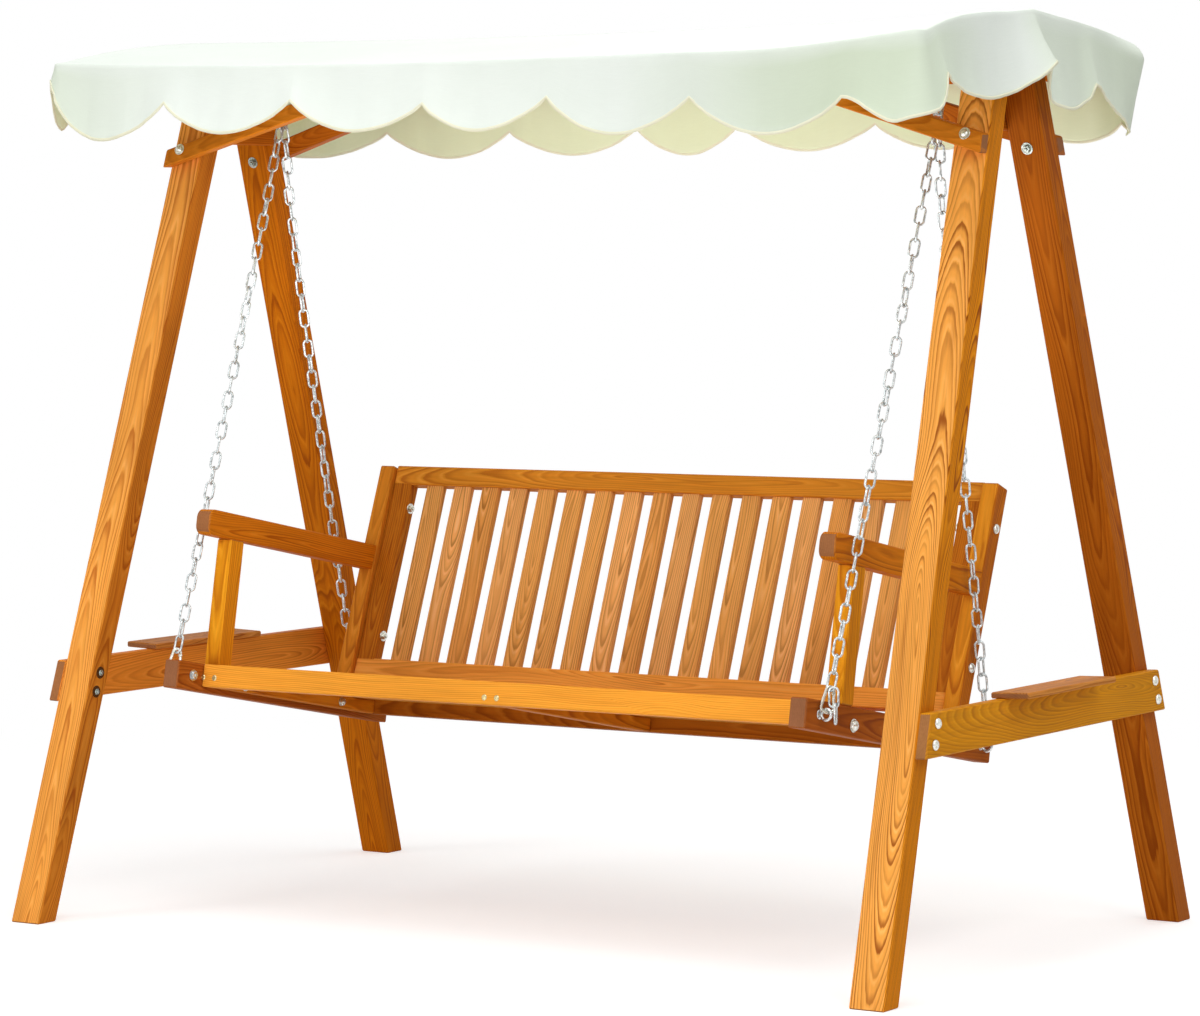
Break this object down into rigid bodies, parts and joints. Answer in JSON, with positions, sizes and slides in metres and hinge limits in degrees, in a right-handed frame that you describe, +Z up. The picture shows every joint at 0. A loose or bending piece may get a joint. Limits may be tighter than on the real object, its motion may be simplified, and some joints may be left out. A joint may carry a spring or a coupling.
{
  "type": "canopy swing",
  "caption": "Wooden garden swing seat with a slatted bench hung on chains from an A-frame stand, with drink shelves and a scalloped cloth canopy.",
  "frame": {"origin": "on the ground, in the middle of the stand's footprint", "axes": "+X along the bench to the right as one faces it, +Y towards its back, +Z up"},
  "size_m": [2.2048, 1.2984, 1.852],
  "materials": {
    "stained_wood": "softwood with a clear orange-brown glaze, satin",
    "hidden_wood": "the same glazed softwood, under the canopy",
    "zinc_steel": "bright zinc plated",
    "canvas": "woven polyester awning cloth, cream, matte"
  },
  "bodies": {
    "stand": {"apex_tie_left": "stained_wood", "apex_tie_right": "stained_wood", "brace_bolt_front_left": "zinc_steel", "brace_bolt_front_right": "zinc_steel", "brace_bolt_rear_left": "zinc_steel", "brace_bolt_rear_right": "zinc_steel", "brace_front_left": "stained_wood", "brace_front_right": "stained_wood", "brace_rear_left": "stained_wood", "brace_rear_right": "stained_wood", "canopy_arm_left": "hidden_wood", "canopy_arm_right": "hidden_wood", "canopy_cover": "canvas", "eave_rail_front": "hidden_wood", "eave_rail_rear": "hidden_wood", "leg_front_left": "stained_wood", "leg_front_right": "stained_wood", "leg_rear_left": "stained_wood", "leg_rear_right": "stained_wood", "ridge_lath": "hidden_wood", "shelf_left": "stained_wood", "shelf_right": "stained_wood", "stretcher_left": "stained_wood", "stretcher_right": "stained_wood", "top_beam": "stained_wood", "top_hook_left": "zinc_steel", "top_hook_right": "zinc_steel"},
    "swing": {"arm_post_left": "stained_wood", "arm_post_right": "stained_wood", "armrest_left": "stained_wood", "armrest_right": "stained_wood", "back_panel": "stained_wood", "back_stile_left": "stained_wood", "back_stile_right": "stained_wood", "chain_front_left": "zinc_steel", "chain_front_right": "zinc_steel", "chain_rear_left": "zinc_steel", "chain_rear_right": "zinc_steel", "eye_bolt_front_left": "zinc_steel", "eye_bolt_front_right": "zinc_steel", "eye_bolt_rear_left": "zinc_steel", "eye_bolt_rear_right": "zinc_steel", "seat_bearer_left": "stained_wood", "seat_bearer_middle": "stained_wood", "seat_bearer_right": "stained_wood", "seat_front_rail": "stained_wood", "seat_rear_rail": "stained_wood", "seat_slat_1": "stained_wood", "seat_slat_2": "stained_wood", "seat_slat_3": "stained_wood", "seat_slat_4": "stained_wood", "seat_slat_5": "stained_wood", "seat_slat_6": "stained_wood", "side_rail_left": "stained_wood", "side_rail_right": "stained_wood", "spring_hook_front_left": "zinc_steel", "spring_hook_front_right": "zinc_steel", "spring_hook_rear_left": "zinc_steel", "spring_hook_rear_right": "zinc_steel"}
  },
  "joints": [
    {"name": "swing_pivot", "type": "hinge", "parent": "stand", "child": "swing", "pos_m": [0, 0, 1.674], "axis": [1, 0, 0], "range_deg": [-25, 25]}
  ]
}
